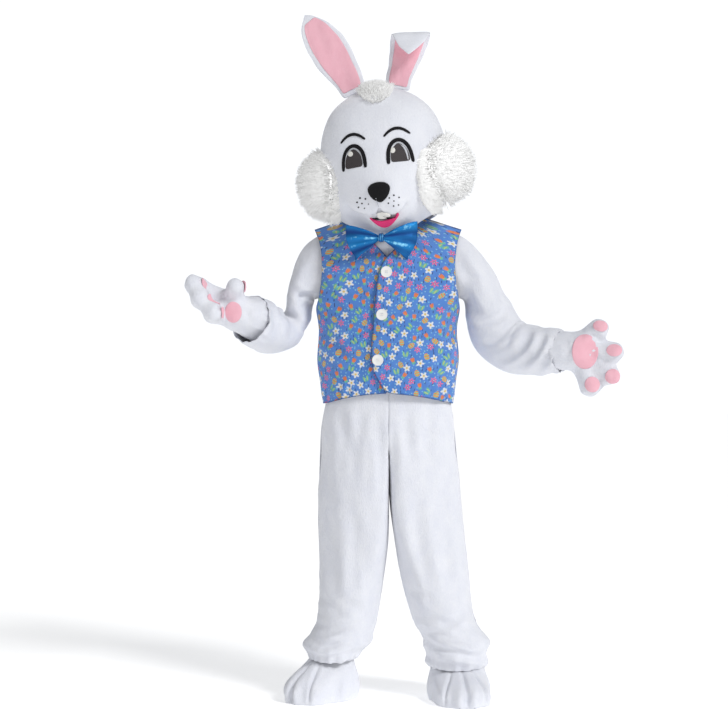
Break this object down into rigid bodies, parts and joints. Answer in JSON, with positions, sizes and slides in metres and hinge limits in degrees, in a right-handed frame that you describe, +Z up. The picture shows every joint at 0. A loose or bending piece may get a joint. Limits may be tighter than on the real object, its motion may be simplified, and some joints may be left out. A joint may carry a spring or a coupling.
{
  "type": "bunny costume, worn pose without its wearer: jumpsuit, head, waistcoat, bow, mitts and foot covers",
  "caption": "White plush bunny costume in a worn pose: big head with one folded ear, printed blue waistcoat, shiny blue bow, paw mitts and large feet.",
  "frame": {"origin": "between the wearer's shoulders, in the middle of the suit's neck", "axes": "+Z up, -Y the way that the costume faces, +X towards the wearer's left; the soles lie at z = -1.42"},
  "size_m": [1.3109, 0.4394, 2.1018],
  "materials": {
    "plush_white": "short white plush, matt, a little blue in shade",
    "fur_white": "long-pile white fur",
    "plush_pink": "pink fleece",
    "print_blue": "mid-blue printed cotton",
    "lame_blue": "glossy blue lame cloth",
    "thread_black": "black felt and thread",
    "mesh_dark": "dark see-through mesh",
    "nose_black": "matt black felt over padding",
    "tongue_pink": "bright pink felt",
    "tooth_white": "white felt",
    "button_white": "glossy white plastic",
    "sole_grey": "grey non-slip sole cloth"
  },
  "bodies": {
    "root": {"bow_band": "lame_blue", "bow_wing_left": "lame_blue", "bow_wing_right": "lame_blue", "brow_left": "thread_black", "brow_right": "thread_black", "button_1": "button_white", "button_2": "button_white", "button_3": "button_white", "cheek_left": "fur_white", "cheek_right": "fur_white", "ear_left": "plush_white", "ear_lining_left": "plush_pink", "ear_lining_right": "plush_pink", "ear_right": "plush_white", "eye_band_left": "thread_black", "eye_band_right": "thread_black", "eye_mesh_left": "mesh_dark", "eye_mesh_right": "mesh_dark", "finger_pad_1_left": "plush_pink", "finger_pad_1_right": "plush_pink", "finger_pad_2_left": "plush_pink", "finger_pad_2_right": "plush_pink", "finger_pad_3_left": "plush_pink", "finger_pad_3_right": "plush_pink", "foot_sole_left": "sole_grey", "foot_sole_right": "sole_grey", "foot_upper_left": "plush_white", "foot_upper_right": "plush_white", "head_shell": "plush_white", "head_tuft": "fur_white", "lip": "tongue_pink", "mitt_left": "plush_white", "mitt_right": "plush_white", "mouth_dark": "thread_black", "nose": "nose_black", "palm_pad_left": "plush_pink", "palm_pad_right": "plush_pink", "sleeve_left": "plush_white", "sleeve_right": "plush_white", "suit_back_left": "plush_white", "suit_back_right": "plush_white", "suit_front_left": "plush_white", "suit_front_right": "plush_white", "thumb_pad_left": "plush_pink", "thumb_pad_right": "plush_pink", "tooth": "tooth_white", "vest_back": "print_blue", "vest_front_left": "print_blue", "vest_front_right": "print_blue"}
  },
  "joints": []
}
